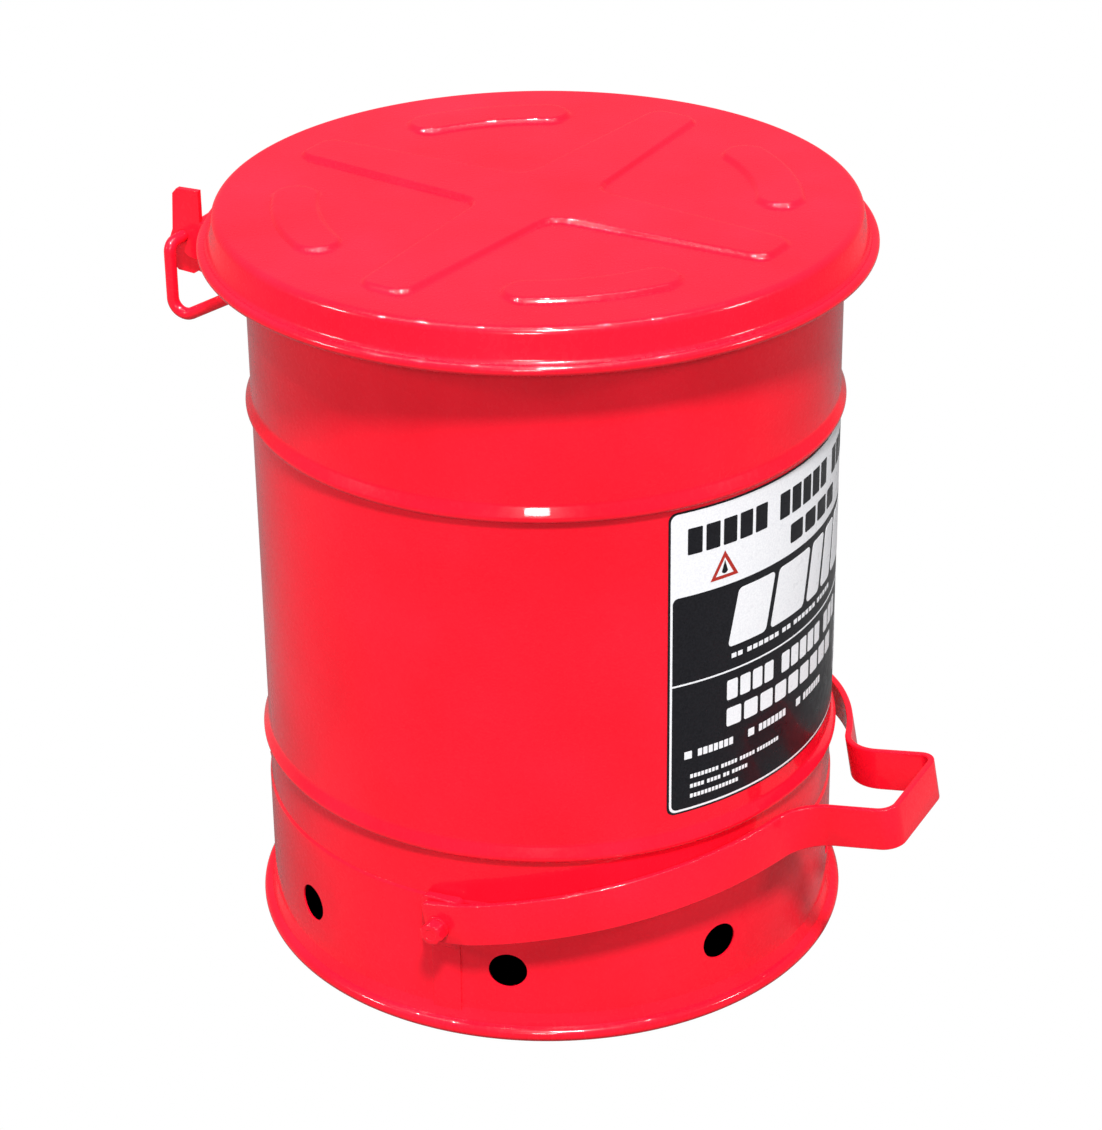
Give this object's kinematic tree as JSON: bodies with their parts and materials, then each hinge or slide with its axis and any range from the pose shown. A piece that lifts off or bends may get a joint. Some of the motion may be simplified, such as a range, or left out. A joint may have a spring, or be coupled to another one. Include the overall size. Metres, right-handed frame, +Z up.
{
  "type": "oily waste can",
  "caption": "Round steel waste can for oily rags: a foot pedal lifts its hinged, self-closing lid through a shaft, an arm and a rod.",
  "frame": {"origin": "on the can's axis, at the floor", "axes": "+Z up the can's axis, -Y towards the pedal, +Y towards the lid's hinge, +X to the right seen from the pedal"},
  "size_m": [0.3966, 0.4951, 0.4665],
  "materials": {
    "red_paint": "gloss red enamel with a fine orange-peel texture, over sheet steel, strap and rod",
    "bare_steel": "plain zinc-plated steel",
    "bronze_bush": "oil-soaked bronze",
    "label_film": null
  },
  "bodies": {
    "can": {"body_shell": "red_paint", "rim_wire": "bare_steel", "bottom_pan": "red_paint", "base_skirt": "red_paint", "foot_wire": "bare_steel", "pivot_lug_left": "red_paint", "pivot_lug_right": "red_paint", "pivot_bush_left": "bronze_bush", "pivot_bush_right": "bronze_bush", "label": "label_film", "hinge_bracket": "red_paint", "hinge_rivets": "red_paint", "hinge_wire": "red_paint", "hinge_washers": "red_paint", "rod_guide_lower": "red_paint", "rod_guide_upper": "red_paint", "guide_rivets": "red_paint"},
    "pedal": {"foot_lever": "red_paint", "pivot_shaft": "red_paint", "pivot_bolts": "red_paint", "pivot_washers": "red_paint", "rear_arm": "red_paint", "arm_roll_pin": "bare_steel"},
    "lid": {"lid_shell": "red_paint", "lid_wire": "bare_steel", "lid_hinge": "red_paint", "lid_rivets": "red_paint"},
    "rod": {"lift_rod": "red_paint", "rod_fork": "red_paint", "fork_pin": "bare_steel", "fork_clip": "bare_steel", "rod_head": "red_paint", "cross_bar": "bare_steel", "bar_clips": "bare_steel"}
  },
  "joints": [
    {"name": "lid_hinge", "type": "hinge", "parent": "can", "child": "lid", "pos_m": [0, 0.228, 0.4146], "axis": [-1, 0, 0], "range_deg": [0, 59.87]},
    {"name": "pedal_pivot", "type": "hinge", "parent": "can", "child": "pedal", "pos_m": [0, -0.0215, 0.0782], "axis": [1, 0, 0], "range_deg": [0, 8.57]},
    {"name": "rod_slide", "type": "slide", "parent": "can", "child": "rod", "axis": [0, 0, 1], "range_m": [0, 0.03342]}
  ],
  "couplings": [
    {"joint": "pedal_pivot", "follows": "lid_hinge", "ratio": 0.14298},
    {"joint": "rod_slide", "follows": "lid_hinge", "m_per_rad": 0.031963}
  ]
}
